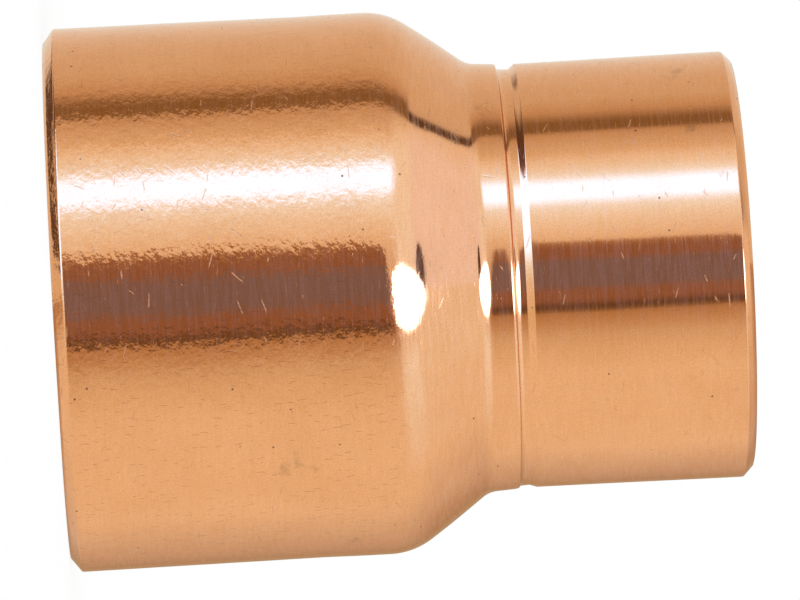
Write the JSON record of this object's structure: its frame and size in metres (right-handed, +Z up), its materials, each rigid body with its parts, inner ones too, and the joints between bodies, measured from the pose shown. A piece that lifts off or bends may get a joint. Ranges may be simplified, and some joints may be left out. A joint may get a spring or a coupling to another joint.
{
  "type": "concentric reducer",
  "caption": "Drawn copper end-feed reducer with a large and a small capillary socket on one axis, joined by a rounded shoulder, with a rolled stop groove.",
  "frame": {"origin": "centre of the large socket's end, on the common axis of both sockets", "axes": "+Z up along the axis, from the large end, which the fitting stands on, to the small end"},
  "size_m": [0.0305, 0.0304, 0.0385],
  "materials": {
    "copper": "bright drawn copper, lightly scratched"
  },
  "bodies": {
    "root": {"reducer_body": "copper"}
  },
  "joints": []
}
